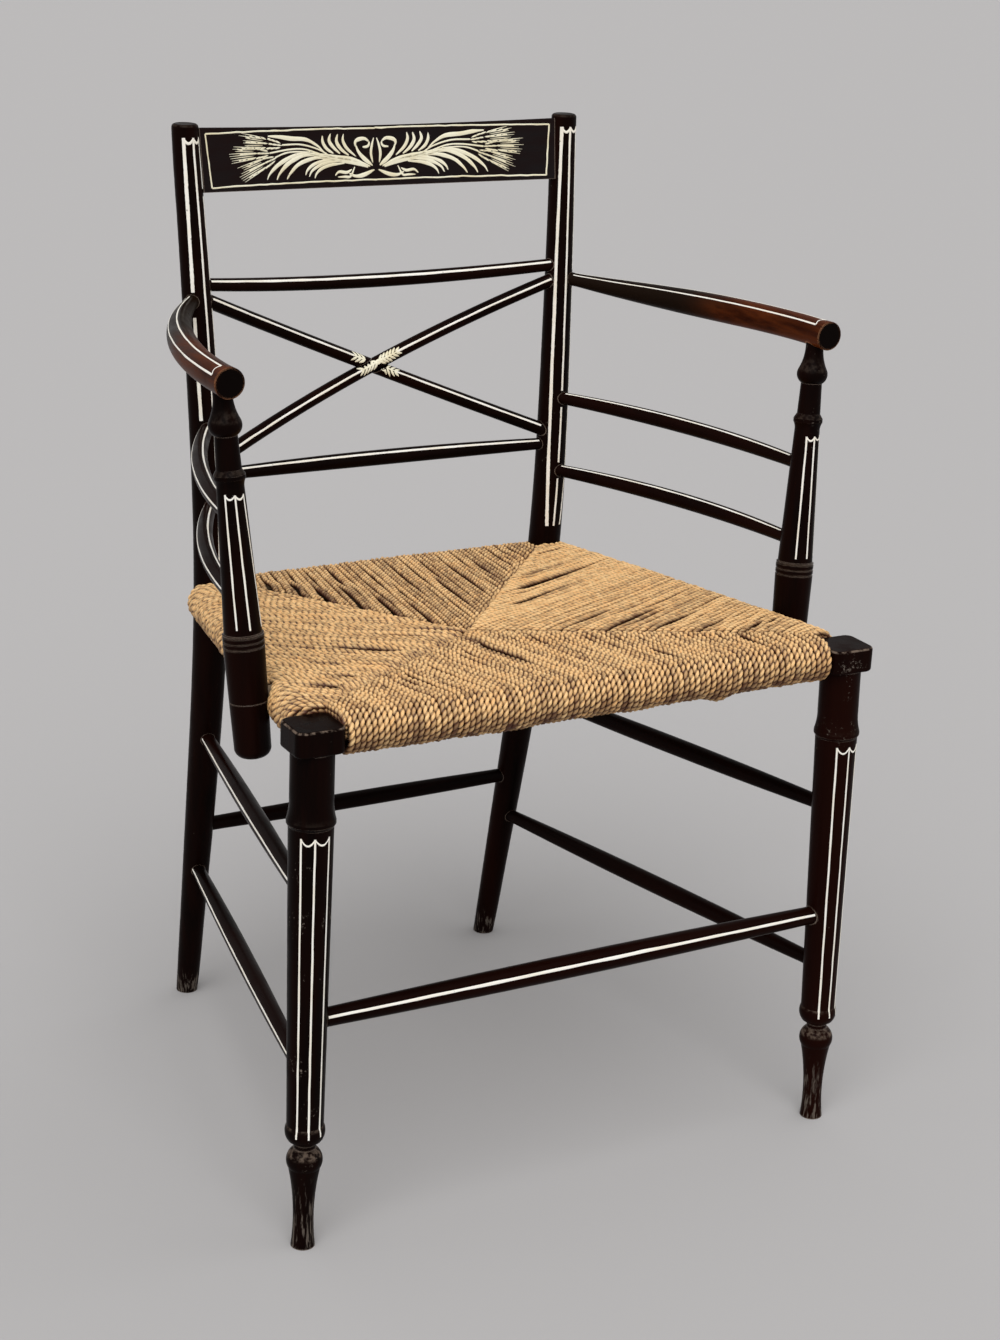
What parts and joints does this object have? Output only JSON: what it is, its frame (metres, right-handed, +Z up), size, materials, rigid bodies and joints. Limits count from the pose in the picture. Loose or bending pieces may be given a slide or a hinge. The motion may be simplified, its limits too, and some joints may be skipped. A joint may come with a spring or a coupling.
{
  "type": "rush seat elbow chair",
  "caption": "Ebonised elbow chair with turned legs, bowed round arms, crossed back bars, a painted top rail and a woven rush seat.",
  "frame": {"origin": "on the floor, under the middle of the chair's bounding box", "axes": "+Z up, the front of the chair faces -Y, +X to the right as seen from in front"},
  "size_m": [0.569, 0.475, 0.826],
  "materials": {
    "ebonised_wood": "satin",
    "worn_arm_wood": "satin",
    "bare_rail_wood": "matte",
    "rush": "matte",
    "cream_paint": "satin",
    "screw_iron": "matte"
  },
  "bodies": {
    "root": {"front_leg_left": "ebonised_wood", "front_leg_right": "ebonised_wood", "back_post_left": "ebonised_wood", "back_post_right": "ebonised_wood", "seat_corner_block_left": "ebonised_wood", "seat_corner_block_right": "ebonised_wood", "top_rail": "ebonised_wood", "mid_back_rail": "ebonised_wood", "lower_back_rail": "ebonised_wood", "cross_bar_rising": "ebonised_wood", "cross_bar_falling": "ebonised_wood", "arm_support_left": "ebonised_wood", "arm_support_right": "ebonised_wood", "front_stretcher": "ebonised_wood", "rear_stretcher": "ebonised_wood", "upper_arm_spindle_left": "ebonised_wood", "upper_arm_spindle_right": "ebonised_wood", "lower_arm_spindle_left": "ebonised_wood", "lower_arm_spindle_right": "ebonised_wood", "upper_side_stretcher_left": "ebonised_wood", "upper_side_stretcher_right": "ebonised_wood", "lower_side_stretcher_left": "ebonised_wood", "lower_side_stretcher_right": "ebonised_wood", "arm_left": "worn_arm_wood", "arm_right": "worn_arm_wood", "seat_rail_front": "bare_rail_wood", "seat_rail_back": "bare_rail_wood", "seat_rail_left": "bare_rail_wood", "seat_rail_right": "bare_rail_wood", "rush_seat": "rush", "arm_support_screws": "screw_iron"}
  },
  "joints": []
}
